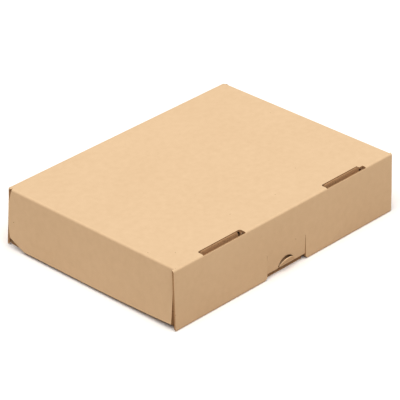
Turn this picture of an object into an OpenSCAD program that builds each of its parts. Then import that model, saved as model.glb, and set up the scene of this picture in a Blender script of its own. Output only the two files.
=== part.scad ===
/* [Inside] */
// clear length inside the box, along its front edge (mm)
inside_l = 220; // [190:1:260]
// clear depth inside the box, from inner front wall to back wall (mm)
inside_w = 162; // [130:1:200]
// clear height inside the box (mm)
inside_h = 45; // [38:0.5:60]

/* [Board] */
// thickness of the corrugated board (mm)
board = 1.5; // [1.2:0.1:1.8]
// inside radius of a pressed fold (mm)
fold_in = 0.4; // [0.3:0.1:0.8]
// inside radius of the softer rear fold (mm)
rear_in = 1; // [0.4:0.1:1.5]

/* [Walls] */
// room between the outer and the inner front wall (mm)
pocket = 2.4; // [2.2:0.1:3.2]
// how far the front wall leans out at its foot (mm)
front_out = 0.8; // [0.2:0.1:1.2]
// how far the back wall leans out at its foot (mm)
back_out = 2.4; // [0.4:0.1:3.2]
// how far each side wall leans out at its foot (mm)
side_out = 3.2; // [0.2:0.1:4]
// how much shorter the front wall is at its foot, each end (mm)
end_taper = 1.2; // [0.4:0.1:2]
// radius of the lower corners of the front wall (mm)
foot_r = 1.6; // [0.5:0.1:2.5]
// how far the side walls stop above the ground (mm)
side_up = 1.5; // [1.2:0.1:2.4]
// length of the chamfer on the rear foot of a side wall (mm)
heel_l = 16; // [8:1:24]
// height of the chamfer on the rear foot of a side wall (mm)
heel_h = 7; // [3:0.5:10]
// length of the tapered part at each end of a side wall's rear edge (mm)
edge_taper = 10; // [6:1:14]

/* [Corner flaps] */
// length of a corner flap inside the front wall (mm)
flap_l = 46; // [30:1:60]
// how far a corner flap narrows at its foot (mm)
flap_slope = 6; // [3:0.5:10]

/* [Slots] */
// middle of the box to the middle of a slot (mm)
slot_at = 62.6; // [50:0.2:68]
// length of a slot (mm)
slot_l = 39.4; // [28:0.2:46]
// how far behind the front fold a slot starts (mm)
slot_in = 1; // [0.7:0.1:1.3]
// room at each end of a tab in its slot (mm)
tab_play = 1.2; // [0.8:0.1:2]
// how far a tab stops below the face of the top panel (mm)
tab_low = 1; // [0.2:0.1:1.3]
// corner radius of a tab (mm)
tab_r = 1.8; // [1:0.1:3]

/* [Front window] */
// width of the window under the front wall, at its top (mm)
window_l = 40; // [34:1:46]
// how much wider the window is at the ground, each end (mm)
window_slope = 2.5; // [1:0.1:4]
// height of the window (mm)
window_h = 3.7; // [3.2:0.1:4.5]
// height of the slits above the ends of the window (mm)
slit_top = 20; // [15:0.5:26]
// width of a slit (mm)
slit_w = 0.4; // [0.3:0.1:0.6]
// how far the wall between the slits stands back at its foot (mm)
press = 0.7; // [0.3:0.1:0.9]
// height of the short lip behind the window (mm)
lip_h = 8; // [7:0.5:12]

/* [Half-moon tab] */
// radius of the half-moon cut (mm)
moon_r = 8.6; // [7.4:0.1:10]
// height of the centre of the half-moon cut (mm)
moon_z = 2.9; // [2:0.1:3.2]
// width of the cut (mm)
moon_cut = 0.3; // [0.2:0.1:0.6]
// how far the half-moon tab stands out at its top (mm)
moon_out = 3; // [2:0.1:4]

/* [Lid] */
// play between the lid and the walls round it (mm)
lid_play = 0.4; // [0.3:0.1:0.6]
// width of the tuck flap at its fold (mm)
tuck_l = 150; // [90:1:170]
// height of the tuck flap (mm)
tuck_h = 15; // [10:0.5:17]
// how much narrower the tuck flap is at its tip, each end (mm)
tuck_slope = 5; // [2:0.5:8]
// how far the tuck flap leans in at its tip (mm)
tuck_in = 1.2; // [0.9:0.1:2]
// width of the cuts at the ends of the tuck flap's fold (mm)
tuck_cut = 0.6; // [0.4:0.1:1]
// height of the lid's side flaps (mm)
dust_h = 30; // [18:1:32]
// front wall to the front end of a side flap (mm)
dust_front = 16; // [12:1:30]
// back wall to the rear end of a side flap (mm)
dust_rear = 8; // [5:1:20]
// slope of the ends of a side flap (mm)
dust_slope = 9; // [5:0.5:12]

/* [Hidden] */
$fn = 48;
eps = 0.01;
over = 5;
fold_r = board + fold_in;
rear_r = board + rear_in;
reach = 4 * (rear_r + fold_r);
rim_w = pocket + 2 * board;
outer_l = inside_l + 2 * board;
outer_w = inside_w + rim_w + board;
outer_h = inside_h + 2 * board;
mid_z = window_h + fold_r;
// to a thousandth of a millimetre, so that faces placed from it meet
moon_reach = round(1000 * (front_lean(mid_z) - press + moon_out)) / 1000;
front_y = (moon_reach - back_out - outer_w) / 2;
back_y = front_y + outer_w;
left_x = -outer_l / 2;
// centres of the folds across the front
top_c = [front_y + fold_r, outer_h - fold_r];
foot_c = [top_c[0] - front_out, fold_r];
inner_c = [front_y + rim_w - fold_r, fold_r];
// centres of the rear fold and of the lid's fold
rear_c = [back_y - rear_r, outer_h - rear_r];
lid_c = [back_y + back_out - fold_r, fold_r];
// inner front wall
inner_end = board + 0.5;
inner_top = outer_h - fold_r;
// centre of the raised fold between the slits
mid_c = [front_y - front_lean(mid_z) + press + fold_r, mid_z];
tab_root = 4;
slot_rear = 0.1;
slot_w = rim_w + slot_rear - slot_in;
tab_l = slot_l - 2 * tab_play;
// corner flap
flap_gap = 0.3;
flap_y = front_y + board + flap_gap;
flap_drop = 1.6;
flap_top = outer_h - board - flap_drop;
flap_foot = side_up + 1;
// side wall
side_c = [left_x + fold_r, outer_h - fold_r];
side_lean = atan(side_out / (outer_h - fold_r - side_up));
flap_fall = flap_l * sin(side_lean);
rear_play = 0.3;
side_back = back_y - board - rear_play;
fold_notch = 1.5;
// lid
lid_front = front_y + rim_w + lid_play;
dust_x = left_x + board + lid_play;
edge_step = 0.6;
tuck_r = 5;
kraft = [0.78, 0.64, 0.48];

// how far the leaning front wall stands out at height z
function front_lean(z) = front_out * (outer_h - fold_r - z) / (outer_h - 2 * fold_r);

// a plane shape in Y and Z, drawn along X from x0 to x1
module along_x(x0, x1) {
  translate([x0, 0, 0])
    rotate([90, 0, 90])
      linear_extrude(height = x1 - x0)
        children();
}

// a plane shape in X and Z, drawn along Y from y0 to y1
module along_y(y0, y1) {
  translate([0, y1, 0])
    rotate([90, 0, 0])
      linear_extrude(height = y1 - y0)
        children();
}

// the board bent round the fold centre c, in the quarter given by two signs
module bend(c, r, u, v) {
  translate(c)
    intersection() {
      difference() {
        circle(r = r);
        circle(r = r - board);
      }
      polygon([[0, 0], [u * reach, 0], [u * reach, v * reach], [0, v * reach]]);
    }
}

// a leaning sheet of board between two heights, from its left edge at each
module sheet(u0, v0, u1, v1) {
  polygon([[u0, v0], [u1, v1], [u1 + board, v1], [u0 + board, v0]]);
}

// section of the front: fold, outer wall, rim and inner wall
module front_section() {
  bend(top_c, fold_r, -1, 1);
  sheet(foot_c[0] - fold_r, fold_r, front_y, outer_h - fold_r);
  bend(foot_c, fold_r, -1, -1);
  translate([foot_c[0], 0])
    square([inner_c[0] - foot_c[0], board]);
  bend(inner_c, fold_r, 1, -1);
  translate([inner_c[0] + fold_in, fold_r])
    square([board, inner_top - fold_r]);
}

// outline of the front wall, narrower and rounded at its foot
module front_outline() {
  half = outer_l / 2;
  foot = half - end_taper;
  difference() {
    polygon([
      [-half, outer_h + eps],
      [-half, outer_h - fold_r],
      [-foot, foot_r],
      [-foot, -eps],
      [foot, -eps],
      [foot, foot_r],
      [half, outer_h - fold_r],
      [half, outer_h + eps]
    ]);
    for (s = [-1, 1])
      translate([s * (foot - foot_r), foot_r])
        difference() {
          translate([s * foot_r, -foot_r])
            square(2 * foot_r, center = true);
          circle(r = foot_r);
        }
  }
}

// one tab of the inner front wall, standing in its slot
module tab() {
  x0 = slot_at - tab_l / 2;
  z0 = inner_top - tab_root;
  z1 = outer_h - tab_low;
  along_y(front_y + rim_w - board, front_y + rim_w) {
    translate([x0, z0])
      square([tab_l, z1 - tab_r - z0]);
    translate([x0 + tab_r, z0])
      square([tab_l - 2 * tab_r, z1 - z0]);
    for (x = [x0 + tab_r, x0 + tab_l - tab_r])
      translate([x, z1 - tab_r])
        circle(r = tab_r);
  }
}

// the slot for a tab, cut along the front fold
module slot() {
  translate([slot_at - slot_l / 2, front_y + slot_in, outer_h - fold_r])
    cube([slot_l, slot_w, fold_r + eps]);
}

// section of the front wall between the slits: outer wall, raised rim and lip
module mid_section() {
  inner_y = inner_c[0];
  sheet(mid_c[0] - fold_r, mid_z, front_y - front_lean(slit_top), slit_top);
  bend(mid_c, fold_r, -1, -1);
  translate([mid_c[0], window_h])
    square([inner_y - mid_c[0], board]);
  bend([inner_y, mid_z], fold_r, 1, -1);
  translate([inner_y + fold_in, mid_z])
    square([board, lip_h - mid_z]);
}

// what is cut from the wall for the half-moon tab: a disc, but only its rim below the fold
module moon_outline() {
  difference() {
    translate([0, moon_z])
      circle(r = moon_r);
    intersection() {
      translate([0, moon_z])
        circle(r = moon_r - moon_cut);
      translate([-moon_r, -moon_r])
        square([2 * moon_r, moon_r + mid_z]);
    }
  }
}

// the half-moon tab, standing out from the raised fold
module moon_tab() {
  r = moon_r - moon_cut;
  foot_y = mid_c[0] - fold_r;
  intersection() {
    along_x(-moon_r, moon_r)
      sheet(foot_y, mid_z, foot_y - moon_out, moon_z + r);
    along_y(foot_y - moon_out - over, foot_y + over)
      translate([0, moon_z])
        circle(r = r);
  }
}

// the front wall between the slits, with its half-moon tab
module mid_wall() {
  half = (window_l - slit_w) / 2;
  difference() {
    along_x(-half, half)
      mid_section();
    along_y(front_y - over, mid_c[0])
      moon_outline();
  }
  moon_tab();
}

// the double front wall with its window, slits and half-moon tab
module front_wall() {
  half = outer_l / 2;
  low = window_l / 2 + 2 * window_slope;
  cut = window_l + slit_w;
  difference() {
    intersection() {
      along_x(-half, half)
        front_section();
      along_y(front_y - over, front_y + rim_w + eps)
        front_outline();
    }
    // rim and inner wall kept clear of the side walls
    for (s = [-1, 1])
      translate([s * half - inner_end, flap_y, -board])
        cube([2 * inner_end, 2 * over, inner_top + board]);
    // window through the foot of both walls
    along_y(front_y - over, front_y + rim_w + over)
      polygon([[-low, -window_h], [-window_l / 2, window_h], [window_l / 2, window_h], [low, -window_h]]);
    // room for the wall between the slits
    translate([-cut / 2, front_y - over, window_h - eps])
      cube([cut, rim_w + 2 * over, slit_top - window_h + eps]);
  }
  mid_wall();
}

// outline of a side wall in Y and Z, with its tapered rear edge and chamfered heel
module side_outline() {
  top = outer_h - fold_r;
  polygon([
    [flap_y, top + board],
    [flap_y, flap_top],
    [flap_y + fold_r, flap_top],
    [flap_y + fold_r, side_up],
    [side_back - heel_l, side_up],
    [side_back - fold_notch, side_up + heel_h],
    [side_back, side_up + heel_h + edge_taper],
    [side_back, top - edge_taper],
    [side_back - fold_notch, top],
    [side_back - fold_notch, top + board]
  ]);
}

// a corner flap behind the front wall, with the fold that joins it to the side wall
module corner_flap() {
  x0 = left_x + fold_r;
  translate([0, 0, flap_foot])
    linear_extrude(height = flap_top - flap_foot)
      bend([x0, flap_y + fold_r], fold_r, -1, -1);
  along_y(flap_y, flap_y + board)
    polygon([
      [x0, flap_top],
      [x0, flap_foot],
      [x0 + flap_l, flap_foot + flap_slope + flap_fall],
      [x0 + flap_l, flap_top - flap_slope / 3]
    ]);
}

// the left side wall with its corner flap, leaning out from its fold
module side_wall() {
  along_y(front_y + fold_r, back_y - rear_r)
    bend(side_c, fold_r, -1, 1);
  difference() {
    translate([left_x, 0, side_c[1]])
      rotate([0, side_lean, 0])
        translate([-left_x, 0, -side_c[1]]) {
          along_x(left_x, left_x + board)
            side_outline();
          corner_flap();
        }
    translate([left_x - over, front_y - over, side_c[1]])
      cube([flap_l + 2 * over, outer_w + 2 * over, 2 * over]);
  }
}

// the panel that lies uppermost
module top_panel() {
  translate([side_c[0], front_y + fold_r, outer_h - board])
    cube([outer_l - 2 * fold_r, outer_w - fold_r - rear_r, board]);
}

// the back wall from its soft fold to the crease of the lid
module back_wall() {
  along_x(left_x, -left_x) {
    bend(rear_c, rear_r, 1, 1);
    sheet(lid_c[0] + fold_in, fold_r, back_y - board, outer_h - rear_r);
    intersection() {
      bend(lid_c, fold_r, 1, -1);
      polygon([lid_c, lid_c + [reach, 0], lid_c + [reach, -reach]]);
    }
  }
}

// outline of the tuck flap in X and Z, rounded at its tip
module tuck_outline() {
  root = tuck_l / 2;
  tip = root - tuck_slope;
  polygon([
    [-root, -eps],
    [-root, fold_r],
    [-tip, tuck_h - tuck_r],
    [tuck_r - tip, tuck_h],
    [tip - tuck_r, tuck_h],
    [tip, tuck_h - tuck_r],
    [root, fold_r],
    [root, -eps]
  ]);
  for (s = [-1, 1])
    translate([s * (tip - tuck_r), tuck_h - tuck_r])
      circle(r = tuck_r);
}

// the flap of the lid that tucks up behind the inner front wall
module tuck_flap() {
  root = tuck_l / 2;
  intersection() {
    along_x(-root, root) {
      bend([lid_front + fold_r, fold_r], fold_r, -1, -1);
      sheet(lid_front, fold_r, lid_front + tuck_in, tuck_h);
    }
    along_y(lid_front - over, lid_front + over)
      tuck_outline();
  }
}

// a side flap of the lid, folded up inside the side wall
module dust_flap() {
  y0 = front_y + dust_front;
  y1 = lid_c[0] - dust_rear;
  along_y(y0, y1)
    bend([dust_x + fold_r, fold_r], fold_r, -1, -1);
  along_x(dust_x, dust_x + board)
    polygon([
      [y0, fold_r],
      [y1, fold_r],
      [y1 - dust_slope, dust_h - dust_slope / 2],
      [y1 - 1.5 * dust_slope, dust_h],
      [y0 + 1.5 * dust_slope, dust_h],
      [y0 + dust_slope, dust_h - dust_slope / 2]
    ]);
}

// the lid's panel, ending in the lower half of its crease
module lid_panel() {
  x1 = dust_x + edge_step;
  x2 = dust_x + fold_r;
  y0 = front_y + dust_front;
  y1 = lid_c[0] - dust_rear;
  root = tuck_l / 2 + tuck_cut;
  difference() {
    union() {
      translate([x2, lid_front, 0])
        cube([-2 * x2, lid_c[0] - lid_front, board]);
      translate([x1, lid_front, 0])
        cube([-2 * x1, y0 - lid_front, board]);
      translate([x1, y1, 0])
        cube([-2 * x1, lid_c[0] - y1, board]);
    }
    // room for the fold of the tuck flap
    translate([-root, lid_front - over, -over])
      cube([2 * root, over + fold_r, 2 * over]);
  }
  along_x(x1, -x1)
    intersection() {
      bend(lid_c, fold_r, 1, -1);
      polygon([lid_c, lid_c + [0, -reach], lid_c + [reach, -reach]]);
    }
}

// the upper part of the sheet: top, front, side and back walls
module tray() {
  color(kraft) {
    difference() {
      union() {
        top_panel();
        front_wall();
      }
      slot();
      mirror([1, 0, 0])
        slot();
    }
    tab();
    mirror([1, 0, 0])
      tab();
    side_wall();
    mirror([1, 0, 0])
      side_wall();
    back_wall();
  }
}

// the lower part of the sheet: the lid with its tuck flap and side flaps
module lid() {
  color(kraft) {
    lid_panel();
    tuck_flap();
    dust_flap();
    mirror([1, 0, 0])
      dust_flap();
  }
}

lid();
tray();
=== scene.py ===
import math
import bmesh
import bpy
from mathutils import Matrix, Vector


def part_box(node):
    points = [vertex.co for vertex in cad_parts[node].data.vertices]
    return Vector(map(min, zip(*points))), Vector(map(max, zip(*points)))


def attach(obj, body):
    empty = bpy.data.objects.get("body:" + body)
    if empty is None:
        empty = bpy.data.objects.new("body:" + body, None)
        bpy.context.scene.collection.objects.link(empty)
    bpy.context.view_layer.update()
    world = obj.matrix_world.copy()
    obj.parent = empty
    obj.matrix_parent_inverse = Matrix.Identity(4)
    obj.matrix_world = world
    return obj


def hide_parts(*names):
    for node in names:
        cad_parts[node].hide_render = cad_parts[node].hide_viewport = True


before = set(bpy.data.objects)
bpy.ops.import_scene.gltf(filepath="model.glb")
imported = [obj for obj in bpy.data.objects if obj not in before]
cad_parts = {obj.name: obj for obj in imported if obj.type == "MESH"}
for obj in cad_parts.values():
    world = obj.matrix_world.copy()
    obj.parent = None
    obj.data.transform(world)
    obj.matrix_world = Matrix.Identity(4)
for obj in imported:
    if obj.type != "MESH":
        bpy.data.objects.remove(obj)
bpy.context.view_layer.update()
bpy.ops.object.select_all(action="DESELECT")

# Tray sheet
# The upper part of one die-cut sheet of corrugated kraft board: the top panel, the front wall that
# rolls over into a rim and an inner wall, the back wall, and the side walls with their corner flaps.
# It is creased and folded, so it is modelled as one sheet, folded by extruding its edges.

# sizes in millimetres
mm = 0.001
board = 1.5
fold = 1.6
rear_fold = 2.5
crease_r = 1.9
half_l = 111.5
depth = 168.9
top_z = 48
rim_w = 5.4
front_out = 0.8
back_out = 2.4
moon_reach = 3.033
front_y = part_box("tray")[0][1] / mm + moon_reach
back_y = front_y + depth
crease_y = back_y + back_out - crease_r


def kraft_fibres():
    """Group: the pulp of kraft liner. Fine fibres, cloudy blotches, specks and faint flute lines."""
    group = bpy.data.node_groups.new("Kraft fibres", "ShaderNodeTree")
    face = group.interface
    face.new_socket(name="Light", in_out="INPUT", socket_type="NodeSocketColor")
    face.new_socket(name="Dark", in_out="INPUT", socket_type="NodeSocketColor")
    face.new_socket(name="Flute Depth", in_out="INPUT", socket_type="NodeSocketFloat")
    face.new_socket(name="Color", in_out="OUTPUT", socket_type="NodeSocketColor")
    face.new_socket(name="Height", in_out="OUTPUT", socket_type="NodeSocketFloat")
    face.new_socket(name="Roughness", in_out="OUTPUT", socket_type="NodeSocketFloat")
    node = group.nodes.new
    link = group.links.new
    entry = node("NodeGroupInput")
    leave = node("NodeGroupOutput")
    place = node("ShaderNodeTexCoord")
    # long fibres lie along the sheet in two crossed layers
    fibre = []
    for stretch in ((420, 2600, 1500), (2300, 520, 1900)):
        turn = node("ShaderNodeMapping")
        turn.inputs["Scale"].default_value = stretch
        turn.inputs["Rotation"].default_value = (0.3, 0.2, 0.5)
        link(place.outputs["Object"], turn.inputs["Vector"])
        noise = node("ShaderNodeTexNoise")
        noise.inputs["Scale"].default_value = 1
        noise.inputs["Detail"].default_value = 3
        link(turn.outputs["Vector"], noise.inputs["Vector"])
        fibre.append(noise)
    both = node("ShaderNodeMath")
    both.operation = "ADD"
    link(fibre[0].outputs["Fac"], both.inputs[0])
    link(fibre[1].outputs["Fac"], both.inputs[1])
    # cloudy blotches a few millimetres and a few centimetres wide
    cloud = node("ShaderNodeTexNoise")
    cloud.inputs["Scale"].default_value = 190
    cloud.inputs["Detail"].default_value = 4
    link(place.outputs["Object"], cloud.inputs["Vector"])
    patch = node("ShaderNodeTexNoise")
    patch.inputs["Scale"].default_value = 22
    patch.inputs["Detail"].default_value = 2
    link(place.outputs["Object"], patch.inputs["Vector"])
    tone = node("ShaderNodeMath")
    tone.operation = "MULTIPLY_ADD"
    link(both.outputs[0], tone.inputs[0])
    tone.inputs[1].default_value = 0.42
    link(cloud.outputs["Fac"], tone.inputs[2])
    sum_up = node("ShaderNodeMath")
    sum_up.operation = "MULTIPLY_ADD"
    link(patch.outputs["Fac"], sum_up.inputs[0])
    sum_up.inputs[1].default_value = 0.5
    link(tone.outputs[0], sum_up.inputs[2])
    spread = node("ShaderNodeMapRange")
    spread.inputs["From Min"].default_value = 0.86
    spread.inputs["From Max"].default_value = 1.5
    link(sum_up.outputs[0], spread.inputs["Value"])
    paint = node("ShaderNodeMix")
    paint.data_type = "RGBA"
    link(spread.outputs["Result"], paint.inputs["Factor"])
    link(entry.outputs["Dark"], paint.inputs["A"])
    link(entry.outputs["Light"], paint.inputs["B"])
    # a few dark specks of bark
    spot = node("ShaderNodeTexVoronoi")
    spot.inputs["Scale"].default_value = 60
    link(place.outputs["Object"], spot.inputs["Vector"])
    near = node("ShaderNodeMath")
    near.operation = "LESS_THAN"
    near.inputs[1].default_value = 0.022
    link(spot.outputs["Distance"], near.inputs[0])
    speck = node("ShaderNodeMix")
    speck.data_type = "RGBA"
    speck.blend_type = "MULTIPLY"
    speck.inputs["B"].default_value = (0.55, 0.47, 0.40, 1)
    link(near.outputs[0], speck.inputs["Factor"])
    link(paint.outputs["Result"], speck.inputs["A"])
    link(speck.outputs["Result"], leave.inputs["Color"])
    # the flutes run from front to back, and round the side walls level with the table
    parts = node("ShaderNodeSeparateXYZ")
    link(place.outputs["Object"], parts.inputs["Vector"])
    facing = node("ShaderNodeSeparateXYZ")
    link(place.outputs["Normal"], facing.inputs["Vector"])
    sideways = node("ShaderNodeMath")
    sideways.operation = "ABSOLUTE"
    link(facing.outputs["X"], sideways.inputs[0])
    pick_z = node("ShaderNodeMath")
    pick_z.operation = "GREATER_THAN"
    pick_z.inputs[1].default_value = 0.7
    link(sideways.outputs[0], pick_z.inputs[0])
    along = node("ShaderNodeMix")
    link(pick_z.outputs[0], along.inputs["Factor"])
    link(parts.outputs["X"], along.inputs["A"])
    link(parts.outputs["Z"], along.inputs["B"])
    wave = node("ShaderNodeMath")
    wave.operation = "MULTIPLY"
    wave.inputs[1].default_value = 2 * math.pi / 0.00125
    link(along.outputs["Result"], wave.inputs[0])
    ripple = node("ShaderNodeMath")
    ripple.operation = "SINE"
    link(wave.outputs[0], ripple.inputs[0])
    flutes = node("ShaderNodeMath")
    flutes.operation = "MULTIPLY"
    link(ripple.outputs[0], flutes.inputs[0])
    link(entry.outputs["Flute Depth"], flutes.inputs[1])
    height = node("ShaderNodeMath")
    height.operation = "MULTIPLY_ADD"
    link(both.outputs[0], height.inputs[0])
    height.inputs[1].default_value = 0.5
    link(flutes.outputs[0], height.inputs[2])
    link(height.outputs[0], leave.inputs["Height"])
    matt = node("ShaderNodeMapRange")
    matt.inputs["To Min"].default_value = 0.8
    matt.inputs["To Max"].default_value = 0.92
    link(cloud.outputs["Fac"], matt.inputs["Value"])
    link(matt.outputs["Result"], leave.inputs["Roughness"])
    return group


fibres = kraft_fibres()


def liner(name, light, dark, flute_depth):
    """A matt paper face of the board."""
    look = bpy.data.materials.new(name)
    look.use_nodes = True
    tree = look.node_tree
    shader = tree.nodes["Principled BSDF"]
    shader.inputs["Specular IOR Level"].default_value = 0.25
    pulp = tree.nodes.new("ShaderNodeGroup")
    pulp.node_tree = fibres
    pulp.inputs["Light"].default_value = (*light, 1)
    pulp.inputs["Dark"].default_value = (*dark, 1)
    pulp.inputs["Flute Depth"].default_value = flute_depth
    bump = tree.nodes.new("ShaderNodeBump")
    bump.inputs["Strength"].default_value = 0.35
    bump.inputs["Distance"].default_value = 0.00004
    tree.links.new(pulp.outputs["Color"], shader.inputs["Base Color"])
    tree.links.new(pulp.outputs["Roughness"], shader.inputs["Roughness"])
    tree.links.new(pulp.outputs["Height"], bump.inputs["Height"])
    tree.links.new(bump.outputs["Normal"], shader.inputs["Normal"])
    return look


def cut_edge():
    """The die-cut edge: two thin liners with the fluted paper and its painted shadows between them; also
    laid as painted shade on some faces that lie in deep shade.
    """
    look = bpy.data.materials.new("fluted cut edge and painted shade")
    look.use_nodes = True
    tree = look.node_tree
    node = tree.nodes.new
    shader = tree.nodes["Principled BSDF"]
    shader.inputs["Roughness"].default_value = 0.95
    shader.inputs["Specular IOR Level"].default_value = 0.15
    place = node("ShaderNodeTexCoord")
    holes = node("ShaderNodeTexVoronoi")
    holes.inputs["Scale"].default_value = 900
    noise = node("ShaderNodeTexNoise")
    noise.inputs["Scale"].default_value = 1400
    ramp = node("ShaderNodeValToRGB")
    ramp.color_ramp.elements[0].position = 0.25
    ramp.color_ramp.elements[0].color = (0.16, 0.074, 0.028, 1)
    ramp.color_ramp.elements[1].position = 0.75
    ramp.color_ramp.elements[1].color = (0.47, 0.265, 0.13, 1)
    blend = node("ShaderNodeMath")
    blend.operation = "MULTIPLY_ADD"
    blend.inputs[1].default_value = 0.6
    tree.links.new(place.outputs["Object"], holes.inputs["Vector"])
    tree.links.new(place.outputs["Object"], noise.inputs["Vector"])
    tree.links.new(holes.outputs["Distance"], blend.inputs[0])
    tree.links.new(noise.outputs["Fac"], blend.inputs[2])
    tree.links.new(blend.outputs[0], ramp.inputs["Fac"])
    tree.links.new(ramp.outputs["Color"], shader.inputs["Base Color"])
    bump = node("ShaderNodeBump")
    bump.inputs["Strength"].default_value = 0.6
    bump.inputs["Distance"].default_value = 0.0002
    tree.links.new(blend.outputs[0], bump.inputs["Height"])
    tree.links.new(bump.outputs["Normal"], shader.inputs["Normal"])
    return look


outer_liner = liner("kraft outer liner", (0.785, 0.55, 0.33), (0.735, 0.505, 0.295), 0.25)
inner_liner = liner("kraft inner liner", (0.72, 0.50, 0.30), (0.66, 0.45, 0.265), 0.45)
fluted_edge_and_painted_shade = cut_edge()
faces_of_board = (outer_liner, inner_liner, fluted_edge_and_painted_shade)


def start_sheet(name, x0, x1, y0, y1, z):
    """Adds a flat panel and opens it for folding."""
    middle = ((x0 + x1) / 2 * mm, (y0 + y1) / 2 * mm, z * mm)
    bpy.ops.mesh.primitive_plane_add(size=1, location=middle)
    sheet = bpy.context.object
    sheet.name = name
    sheet.scale = ((x1 - x0) * mm, (y1 - y0) * mm, 1)
    bpy.ops.object.transform_apply(location=True, rotation=True, scale=True)
    bpy.ops.object.mode_set(mode="EDIT")
    return sheet


def pick(sheet, kind, test, more=False):
    """Selects the vertices, edges or faces that lie where the test says, in millimetres."""
    bpy.ops.mesh.select_mode(type=kind)
    if not more:
        bpy.ops.mesh.select_all(action="DESELECT")
    mesh = bmesh.from_edit_mesh(sheet.data)
    found = 0
    for part in {"VERT": mesh.verts, "EDGE": mesh.edges, "FACE": mesh.faces}[kind]:
        corners = [part] if kind == "VERT" else part.verts
        if all(test(v.co.x / mm, v.co.y / mm, v.co.z / mm) for v in corners):
            part.select_set(True)
            found += 1
    mesh.select_flush_mode()
    bmesh.update_edit_mesh(sheet.data)
    return found


def crease_at(sheet, point, normal, test=lambda x, y, z: True):
    """Cuts a line across the faces that the test picks."""
    pick(sheet, "FACE", test)
    bpy.ops.mesh.bisect(plane_co=[c * mm for c in point], plane_no=normal)


def fold_out(x, y, z):
    """Extrudes the picked edges, as one more panel of the sheet."""
    bpy.ops.mesh.extrude_region_move(TRANSFORM_OT_translate={"value": (x * mm, y * mm, z * mm)})


def shift(x, y, z):
    """Moves what is picked."""
    bpy.ops.transform.translate(value=(x * mm, y * mm, z * mm))


def round_fold(radius, segments):
    """Rounds the picked folds."""
    bpy.ops.mesh.bevel(
        offset=radius * mm,
        segments=segments,
        profile=0.5,
        affect="EDGES",
        clamp_overlap=False,
    )


def near(a, b, play=0.05):
    return abs(a - b) < play


def wall_y(z):
    """The outer face of the leaning front wall at height z."""
    return front_y - front_out * (top_z - fold - z) / (top_z - 2 * fold)


# the top panel, with a line across it wherever something below starts or ends
slit_top = 20
moon_x = -2.2
slit_in = 19.85
slit_out = 20.1
tab_x = -1.8
tab_ends = (44.8, 81.1)
tab_notches = (42, 83.9)
dent_left = -104.5
dent_right = 104
nick = 0.2
side_front = front_y + fold + 0.05 + nick
side_rear = back_y - rear_fold - 2.1 - nick
side_rows = (top_z - fold - 0.05, top_z - fold - 0.05 - nick, 36.1, 18.5, 9, 2.7)
side_columns = (side_front, side_front + fold + 0.05, -60, -35, -10, 15, 40, 62, side_rear)

tray = start_sheet("tray_sheet", -half_l, half_l, front_y, back_y, top_z)
nick_x = half_l - fold - 0.05
for side in (-1, 1):
    crease_at(tray, (side * nick_x, 0, 0), (1, 0, 0))
    for x in (*tab_ends, *tab_notches):
        crease_at(tray, (tab_x + side * x, 0, 0), (1, 0, 0))
for x in (slit_in, slit_out):
    for side in (-1, 1):
        crease_at(tray, (moon_x + side * x, 0, 0), (1, 0, 0))
for x in (dent_left, moon_x, dent_right):
    crease_at(tray, (x, 0, 0), (1, 0, 0))
for y in (side_front - nick, *side_columns, side_rear + nick):
    crease_at(tray, (0, y, 0), (0, 1, 0))

# nicks that part the folds of the side walls from those of the front and back walls
pick(tray, "FACE", lambda x, y, z: abs(x) > nick_x - 0.01 and (
    side_front - nick - 0.01 < y < side_front + 0.01
    or side_rear - 0.01 < y < side_rear + nick + 0.01
))
bpy.ops.mesh.delete(type="FACE")

# the front wall, its rim, and the inner wall with the lip's and the slits' heights marked
lip_h = 8
inner_top = top_z - fold
pick(tray, "EDGE", lambda x, y, z: near(y, front_y))
fold_out(0, wall_y(slit_top) - front_y, slit_top - top_z)
fold_out(0, wall_y(0) - wall_y(slit_top), -slit_top)
fold_out(0, front_y + rim_w - wall_y(0), 0)
fold_out(0, 0, lip_h)
fold_out(0, 0, slit_top - lip_h)
fold_out(0, 0, inner_top - 4 - slit_top)
fold_out(0, 0, 4)

# two tabs on the inner wall's edge, with their corners cut off
tab_rise = 1.1
tab_lean = 0.35
pick(tray, "EDGE", lambda x, y, z: (
    near(z, inner_top)
    and tab_ends[0] - 0.1 < abs(x - tab_x) < tab_ends[1] + 0.1
))
fold_out(0, tab_lean, tab_rise)
for side in (-1, 1):
    for x, step in zip(tab_ends, (0.7, -0.7)):
        pick(tray, "VERT", lambda a, b, c: (
            near(a, tab_x + side * x)
            and near(c, inner_top + tab_rise)
            and b < side_front + 5
        ))
        shift(side * step, 0, 0)

# small notches in the inner wall's edge at both ends of each tab
for low, high in ((tab_notches[0], tab_ends[0]), (tab_ends[1], tab_notches[1])):
    pick(tray, "FACE", lambda x, y, z: (
        near(y, front_y + rim_w)
        and inner_top - 4.1 < z < inner_top + 0.1
        and low - 0.1 < abs(x - tab_x) < high + 0.1
    ))
    bpy.ops.mesh.delete(type="FACE")

# the front wall's left end stands out past the side wall, and the inner wall stops short of both
end_out = 2.6
inner_short = 4.4
pick(tray, "VERT", lambda x, y, z: near(x, -half_l) and y < side_front - nick + 0.01)
shift(-end_out, 0, 0)
pick(tray, "VERT", lambda x, y, z: near(x, half_l) and near(z, 0) and y < front_y)
shift(-0.4, 0, 0)
for side in (-1, 1):
    pick(tray, "VERT", lambda x, y, z: side * x > nick_x - 0.1 and near(y, front_y + rim_w) and z < 47)
    shift(-side * inner_short, 0, 0)

# slits on both sides of the half-moon, through both walls and the rim, and a gap above the lip
pick(tray, "FACE", lambda x, y, z: slit_in - 0.05 < abs(x - moon_x) < slit_out + 0.05 and z < slit_top + 0.1)
bpy.ops.mesh.delete(type="FACE")
pick(tray, "FACE", lambda x, y, z: (
    abs(x - moon_x) < slit_in + 0.05
    and near(y, front_y + rim_w)
    and lip_h - 0.1 < z < slit_top + 0.1
))
bpy.ops.mesh.delete(type="FACE")

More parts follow.
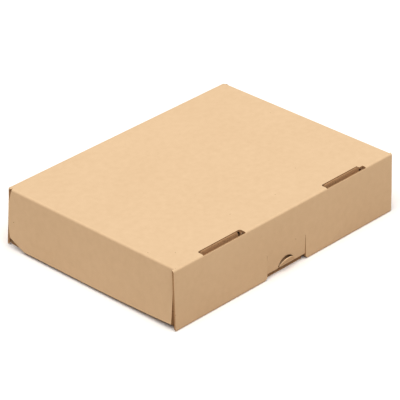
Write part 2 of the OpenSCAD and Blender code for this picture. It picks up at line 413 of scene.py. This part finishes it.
# the wall between the slits is folded higher and stands back a little at its foot
window_h = 3.7
press = 0.7
pick(tray, "VERT", lambda x, y, z: abs(x - moon_x) < slit_in + 0.05 and z < 0.1)
shift(0, 0, window_h)
pick(tray, "VERT", lambda x, y, z: abs(x - moon_x) < slit_in + 0.05 and near(z, window_h) and y < front_y)
shift(0, wall_y(window_h) + press - wall_y(0), 0)

# the back wall, ending in its half of the lid's crease
pick(tray, "EDGE", lambda x, y, z: near(y, back_y))
fold_out(0, back_out, crease_r - top_z)
last = (crease_y + crease_r, crease_r)
for angle in (75, 60, 45.5):
    turn = math.radians(angle)
    point = (crease_y + crease_r * math.sin(turn), crease_r - crease_r * math.cos(turn))
    fold_out(0, point[0] - last[0], point[1] - last[1])
    last = point

# the side walls, which lean out more towards the back, with tapered rear edges and cut heels
lean_front = 3
lean_rear = 3.1
side_back = back_y - 1.8
rear_edge = (side_rear, side_rear + 0.2, side_back, side_back, side_back - 1.5, side_back - 16)
for side in (-1, 1):
    pick(tray, "EDGE", lambda x, y, z: (
        near(x, side * half_l)
        and near(z, top_z)
        and side_front - 0.1 < y < side_rear + 0.1
    ))
    height = top_z
    for z in side_rows:
        fold_out(0, 0, z - height)
        height = z
    for z, end in zip(side_rows, rear_edge):
        pick(tray, "VERT", lambda a, b, c: near(a, side * half_l) and near(b, side_rear) and near(c, z))
        shift(0, end - side_rear, 0)
        for y in (*side_columns[:-1], end):
            lean = lean_front + (lean_rear - lean_front) * (y - side_front) / (side_back - side_front)
            pick(tray, "VERT", lambda a, b, c: near(a, side * half_l) and near(b, y) and near(c, z))
            shift(side * lean * (top_z - z) / (top_z - side_rows[-1]), 0, 0)

# a nick above each corner flap, then the flaps, folded in behind the front wall
pick(tray, "FACE", lambda x, y, z: (
    side_rows[1] - 0.01 < z < side_rows[0] + 0.01
    and y < side_columns[1] + 0.01
))
bpy.ops.mesh.delete(type="FACE")
flap_l = 46
flap_bend = 4
flap_up = 6.8
flap_down = 3
corner_gap = 1.6
for side in (-1, 1):
    pick(tray, "EDGE", lambda x, y, z: (
        side * x > half_l - 0.1
        and near(y, side_front)
        and z < side_rows[1] + 0.01
    ))
    fold_out(-side * flap_bend, 0, 0)
    fold_out(-side * (flap_l - flap_bend), 0, 0)
    pick(tray, "VERT", lambda x, y, z: 90 > side * x > 60 and near(y, side_front) and near(z, side_rows[-1]))
    shift(0, 0, flap_up)
    pick(tray, "VERT", lambda x, y, z: 90 > side * x > 60 and near(y, side_front) and near(z, side_rows[1]))
    shift(0, 0, -flap_down)
    for z in side_rows:
        for y in (side_columns[1], side_columns[0]):
            pick(tray, "VERT", lambda a, b, c: (
                side * a > half_l - flap_bend - 0.1
                and near(b, y)
                and near(c, z)
            ))
            shift(0, corner_gap * (top_z - z) / top_z, 0)
    for low, high, rise in ((-90, -81, 2.2), (-81, -70, 1.9), (-70, -50, 1), (-50, -30, 0.4)):
        pick(tray, "VERT", lambda a, b, c: side * a > half_l and low < b < high and near(c, side_rows[-1]))
        shift(0, 0, rise)

# the rear corners of the top panel are a little crushed
pick(tray, "VERT", lambda x, y, z: near(x, -half_l) and near(y, back_y) and near(z, top_z))
shift(0.5, -1.6, -0.6)
pick(tray, "VERT", lambda x, y, z: near(x, half_l) and near(y, back_y) and near(z, top_z))
shift(-0.4, -0.9, -1)

# folds pressed round
folds = (
    lambda x, y, z: near(z, top_z) and near(y, front_y),
    lambda x, y, z: near(z, 0) and y < front_y - 0.5,
    lambda x, y, z: near(z, 0) and near(y, front_y + rim_w),
    lambda x, y, z: near(z, window_h) and y < front_y + 0.5,
    lambda x, y, z: near(z, window_h) and near(y, front_y + rim_w),
    lambda x, y, z: near(z, top_z) and near(abs(x), half_l) and side_front - 0.1 < y < side_rear + 0.1,
)
bpy.ops.mesh.select_all(action="DESELECT")
for test in folds:
    pick(tray, "EDGE", test, more=True)
round_fold(fold, 6)


def corner_y(z):
    """The fold of a corner flap at height z, further back towards the foot."""
    return side_front + corner_gap * (top_z - z) / top_z


pick(tray, "EDGE", lambda x, y, z: abs(x) > half_l and near(y, corner_y(z)) and z < side_rows[1] + 0.01)
round_fold(0.5, 4)
pick(tray, "EDGE", lambda x, y, z: y > back_y - rear_fold and z > top_z - 1.2)
round_fold(rear_fold, 6)

# the slots for the tabs, with round rear corners, cut into the top panel and its front fold
slot_x = -1
slot_ends = (42, 84)
slot_front = front_y + 0.1
slot_back = front_y + 6.1
slot_r = 1.8


def by_slot(x, y, z):
    """True where a slot and the panel round it lie."""
    return slit_out < abs(x) < nick_x + 0.1 and y < side_columns[2] + 0.1 and z > top_z - fold - 0.05


def in_slot(x, y, z):
    """True within the slots' rectangles."""
    level = z > top_z - 1.2
    within = slot_ends[0] - 0.02 < abs(x - slot_x) < slot_ends[1] + 0.02
    return level and within and slot_front - 0.02 < y < slot_back + 0.02


def in_round_slot(x, y, z):
    """True within the slots, without their rounded corners."""
    across = max(slot_ends[0] + slot_r - abs(x - slot_x), abs(x - slot_x) - slot_ends[1] + slot_r, 0)
    along = max(y - slot_back + slot_r, 0)
    return in_slot(x, y, z) and math.hypot(across, along) < slot_r * 1.03


for y in (slot_front, slot_back):
    crease_at(tray, (0, y, 0), (0, 1, 0), by_slot)
for x in slot_ends:
    for side in (-1, 1):
        crease_at(tray, (slot_x + side * x, 0, 0), (1, 0, 0), by_slot)
for side in (-1, 1):
    for x, out in zip(slot_ends, (-1, 1)):
        for angle in (22.5, 45, 67.5):
            turn = math.radians(angle)
            normal = (side * out * math.cos(turn), math.sin(turn), 0)
            middle = (slot_x + side * (x - out * slot_r), slot_back - slot_r, 0)
            point = [m + n * slot_r for m, n in zip(middle, normal)]
            crease_at(tray, point, normal, in_slot)
pick(tray, "FACE", in_round_slot)
bpy.ops.mesh.delete(type="FACE")

# the slanted ends of the window, through the foot of both walls
window_foot = 22.5
slant = (window_h, window_foot - slit_out)


def by_window(x, y, z):
    """True where the foot of both walls lies beside the slits."""
    beside = slit_out - 0.05 < abs(x - moon_x) and abs(x - tab_x) < tab_ends[0] + 0.1
    return beside and z < slit_top + 0.1 and y < front_y + rim_w + 0.1


for side in (-1, 1):
    crease_at(tray, (moon_x + side * window_foot, 0, 0), (side * slant[0], 0, slant[1]), by_window)
crease_at(tray, (0, 0, window_h), (0, 0, 1), by_window)
pick(tray, "FACE", lambda x, y, z: (
    slit_out - 0.05 < abs(x - moon_x)
    and z < window_h + 0.02
    and (abs(x - moon_x) - window_foot) * slant[0] + z * slant[1] < 0.05
))
bpy.ops.mesh.delete(type="FACE")
bpy.ops.object.mode_set(mode="OBJECT")


def thicken(sheet, thickness=board, rim=2):
    """Gives the folded sheet its thickness, inwards, with the flutes on its cut edges."""
    for look in faces_of_board:
        sheet.data.materials.append(look)
    wall = sheet.modifiers.new("board", "SOLIDIFY")
    wall.thickness = thickness * mm
    wall.offset = -1
    wall.use_even_offset = True
    wall.material_offset = 1
    wall.material_offset_rim = rim
    bpy.ops.object.select_all(action="DESELECT")
    sheet.select_set(True)
    bpy.context.view_layer.objects.active = sheet
    bpy.ops.object.modifier_apply(modifier=wall.name)


thicken(tray)

# the fronts of the tabs, deep in the slots, and the first stretch of the corner flaps, in the gaps at the
# near corners, get the dark fluted cut-edge material: painted shade
bpy.ops.object.mode_set(mode="EDIT")
pick(tray, "FACE", lambda x, y, z: (
    near(y, front_y + rim_w - board, 1.2)
    and z > inner_top - 4.1
    and tab_ends[0] - 0.1 < abs(x - tab_x) < tab_ends[1] + 0.1
))
pick(tray, "FACE", lambda x, y, z: (
    side_front - 0.1 < y < corner_y(z) + 0.3
    and abs(x) > half_l - 4.1
    and z < side_rows[1] + 0.1
), more=True)
# material 2, the dark cut-edge material, laid on these faces as painted shade
tray.active_material_index = 2
bpy.ops.object.material_slot_assign()
bpy.ops.object.mode_set(mode="OBJECT")

# Half-moon tab
# A half-moon is cut into the outer front wall above the window. It stays joined to the raised rim
# by its fold, and stands out from the wall at its top, so a finger can pull the front up.

moon_r = 8.9
moon_z = 2.9
moon_cut = 0.9
moon_out = 24
fold_z = window_h + fold
moon_y = wall_y(fold_z) + press
bpy.ops.object.select_all(action="DESELECT")
bpy.ops.mesh.primitive_cylinder_add(
    vertices=96,
    radius=moon_r * mm,
    depth=(fold + 4) * mm,
    location=(moon_x * mm, (moon_y + fold / 2 - 2) * mm, moon_z * mm),
    rotation=(math.pi / 2, 0, 0),
)
cutter = bpy.context.object
for look in faces_of_board:
    cutter.data.materials.append(look)
for face in cutter.data.polygons:
    face.material_index = 2
hole = tray.modifiers.new("half-moon cut", "BOOLEAN")
hole.operation = "DIFFERENCE"
hole.solver = "EXACT"
hole.object = cutter
bpy.ops.object.select_all(action="DESELECT")
tray.select_set(True)
bpy.context.view_layer.objects.active = tray
bpy.ops.object.modifier_apply(modifier=hole.name)
bpy.data.objects.remove(cutter)

bpy.ops.mesh.primitive_circle_add(
    vertices=96,
    radius=(moon_r - moon_cut) * mm,
    fill_type="NGON",
    location=((moon_x + 0.9) * mm, moon_y * mm, moon_z * mm),
    rotation=(math.pi / 2, 0, 0),
)
moon = bpy.context.object
moon.name = "moon_tab"
bpy.ops.object.transform_apply(location=True, rotation=True, scale=True)
bpy.ops.object.mode_set(mode="EDIT")
bpy.ops.mesh.select_all(action="SELECT")
bpy.ops.mesh.bisect(plane_co=(0, moon_y * mm, fold_z * mm), plane_no=(0, 0, 1), clear_inner=True)
pick(moon, "EDGE", lambda x, y, z: near(z, fold_z, 0.01))
last = (moon_y, fold_z)
for step in range(1, 7):
    turn = math.radians(15 * step)
    point = (moon_y + fold * (1 - math.cos(turn)), fold_z - fold * math.sin(turn))
    fold_out(0, point[0] - last[0], point[1] - last[1])
    last = point
pick(moon, "VERT", lambda x, y, z: z > fold_z + 0.02)
bpy.ops.transform.rotate(
    value=math.radians(-moon_out),
    orient_axis="X",
    center_override=(0, moon_y * mm, fold_z * mm),
)
bpy.ops.object.mode_set(mode="OBJECT")
thicken(moon, 0.6, rim=0)

# the half-moon and the tray are one sheet
bpy.ops.object.select_all(action="DESELECT")
moon.select_set(True)
tray.select_set(True)
bpy.context.view_layer.objects.active = tray
bpy.ops.object.join()
bpy.ops.object.shade_smooth_by_angle(angle=math.radians(25))
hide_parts("tray")
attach(tray, "tray")

# Lid sheet
# The lower part of the same sheet, on which the box lies: the lid's panel from its crease at the
# foot of the back wall, a flap that tucks up behind the inner front wall, and two side flaps.

lid_half = 109.6
lid_front = front_y + rim_w + 0.4
tuck_half = 75
tuck_h = 15
tongue_half = 19
dust_front = front_y + 16
dust_rear = crease_y - 8
dust_h = 30
lid = start_sheet("lid_sheet", -lid_half, lid_half, lid_front, crease_y, 0)
bpy.ops.mesh.flip_normals()
for side in (-1, 1):
    crease_at(lid, (side * tuck_half, 0, 0), (1, 0, 0))
    crease_at(lid, (side * (tuck_half + 0.6), 0, 0), (1, 0, 0))
    crease_at(lid, (moon_x + side * tongue_half, 0, 0), (1, 0, 0))
    crease_at(lid, (moon_x + side * (tongue_half + 0.6), 0, 0), (1, 0, 0))
for y in (lid_front + fold, dust_front, dust_rear):
    crease_at(lid, (0, y, 0), (0, 1, 0))

# cuts at both ends of the tuck flap's fold
pick(lid, "FACE", lambda x, y, z: tuck_half - 0.1 < abs(x) < tuck_half + 0.7 and y < lid_front + fold + 0.1)
bpy.ops.mesh.delete(type="FACE")

# the tuck flap, leaning in, with its corners cut off
pick(lid, "EDGE", lambda x, y, z: near(y, lid_front) and abs(x) < tuck_half + 0.1)
fold_out(0, 0.4, 4)
fold_out(0, 0.6, tuck_h - 9)
fold_out(0, 0.2, 5)
for side in (-1, 1):
    pick(lid, "VERT", lambda x, y, z: near(x, side * tuck_half) and near(z, tuck_h - 5))
    shift(-side * 3.5, 0, 0)
    pick(lid, "VERT", lambda x, y, z: near(x, side * tuck_half) and near(z, tuck_h))
    shift(-side * 5, 0, 0)

# the tongue, cut out of the tuck flap's foot: it stays flat and reaches into the front wall's window
pick(lid, "FACE", lambda x, y, z: abs(x - moon_x) < tongue_half + 0.7 and y < lid_front + 0.5 and z < 4.1)
bpy.ops.mesh.delete(type="FACE")
for side in (-1, 1):
    pick(lid, "FACE", lambda x, y, z: (
        tongue_half - 0.1 < side * (x - moon_x) < tongue_half + 0.7
        and y < lid_front + fold + 0.1
        and z < 0.1
    ))
    bpy.ops.mesh.delete(type="FACE")
pick(lid, "EDGE", lambda x, y, z: near(y, lid_front) and z < 0.1 and abs(x - moon_x) < tongue_half + 0.1)
fold_out(0, front_y + 2.7 - lid_front, 0)

# the side flaps, which narrow to their tops
for side in (-1, 1):
    pick(lid, "EDGE", lambda x, y, z: near(x, side * lid_half) and dust_front - 0.1 < y < dust_rear + 0.1)
    fold_out(0, 0, fold)
    fold_out(0, 0, dust_h - fold - 4.5)
    fold_out(0, 0, 4.5)
    for z, step in ((dust_h - 4.5, 9), (dust_h, 13.5)):
        pick(lid, "VERT", lambda a, b, c: near(a, side * lid_half) and near(b, dust_front) and near(c, z))
        shift(0, step, 0)
        pick(lid, "VERT", lambda a, b, c: near(a, side * lid_half) and near(b, dust_rear) and near(c, z))
        shift(0, -step, 0)

# the lid's half of the crease
pick(lid, "EDGE", lambda x, y, z: near(y, crease_y))
last = (crease_y, 0)
for angle in (15, 30, 44.5):
    turn = math.radians(angle)
    point = (crease_y + crease_r * math.sin(turn), crease_r - crease_r * math.cos(turn))
    fold_out(0, point[0] - last[0], point[1] - last[1])
    last = point

# the panel's free side edges stand in a little from the folds of its flaps
for side in (-1, 1):
    pick(lid, "VERT", lambda x, y, z: (
        near(x, side * lid_half)
        and (y < dust_front - 0.1 or y > dust_rear + 0.1)
        and z < fold
    ))
    shift(-side * 0.6, 0, 0)

# folds pressed round
folds = (
    lambda x, y, z: (
        near(z, 0)
        and near(y, lid_front)
        and abs(x - moon_x) > tongue_half + 0.5
        and abs(x) < tuck_half + 0.1
    ),
    lambda x, y, z: near(z, 0) and near(abs(x), lid_half) and dust_front - 0.1 < y < dust_rear + 0.1,
)
bpy.ops.mesh.select_all(action="DESELECT")
for test in folds:
    pick(lid, "EDGE", test, more=True)
round_fold(fold - 0.01, 6)
bpy.ops.object.mode_set(mode="OBJECT")
thicken(lid)
bpy.ops.object.shade_smooth_by_angle(angle=math.radians(25))
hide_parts("lid")
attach(lid, "lid")

# Table and light
# A plain white table in a white, evenly lit room, with one broad soft lamp high above the camera.

bpy.ops.mesh.primitive_plane_add(size=12, location=(0, 0, 0))
table = bpy.context.object
table.name = "table"
white = bpy.data.materials.new("white table")
white.use_nodes = True
tree = white.node_tree
tree.nodes.remove(tree.nodes["Principled BSDF"])
paint = tree.nodes.new("ShaderNodeBsdfDiffuse")
seen = tree.nodes.new("ShaderNodeLightPath")
tint = tree.nodes.new("ShaderNodeMix")
tint.data_type = "RGBA"
# other rays see the table brown, which warms the light it throws onto the box; the camera sees it a little
# warm, so its shadows come out warm: painted warm bounce light in the shadows
tint.inputs["A"].default_value = (0.56, 0.48, 0.41, 1)
tint.inputs["B"].default_value = (1.08, 1.04, 1, 1)
tree.links.new(seen.outputs["Is Camera Ray"], tint.inputs["Factor"])
tree.links.new(tint.outputs["Result"], paint.inputs["Color"])
tree.links.new(paint.outputs["BSDF"], tree.nodes["Material Output"].inputs["Surface"])
table.data.materials.append(white)

room = bpy.data.worlds.new("white room")
bpy.context.scene.world = room
room.use_nodes = True
room.node_tree.nodes["Background"].inputs["Color"].default_value = (1, 1, 1, 1)
room.node_tree.nodes["Background"].inputs["Strength"].default_value = 0.2

bpy.ops.object.light_add(type="SUN", location=(-0.3, -0.3, 2))
lamp = bpy.context.object
lamp.name = "soft lamp"
lamp.data.energy = 1.01 * math.pi
lamp.data.angle = math.radians(70)
lamp.rotation_euler = Vector((0.25, 0.25, -1)).to_track_quat("-Z", "Y").to_euler()

# Camera
# It stands where the photograph was taken from, found from the straight edges of the box.

right = Vector((0.69530152, -0.71856477, -0.01484748))
down = Vector((-0.36247962, -0.33275628, -0.87056406))
ahead = Vector((0.62061608, 0.61068642, -0.49183104))
stand = Matrix((right, -down, -ahead)).transposed().to_4x4()
stand.translation = Vector((-1.166212, -1.145502, 0.946787))
bpy.ops.object.camera_add()
camera = bpy.context.object
camera.matrix_world = stand
camera.data.sensor_width = 36
camera.data.lens = 234
camera.data.clip_end = 30
bpy.context.scene.camera = camera
bpy.context.scene.view_settings.view_transform = "Standard"
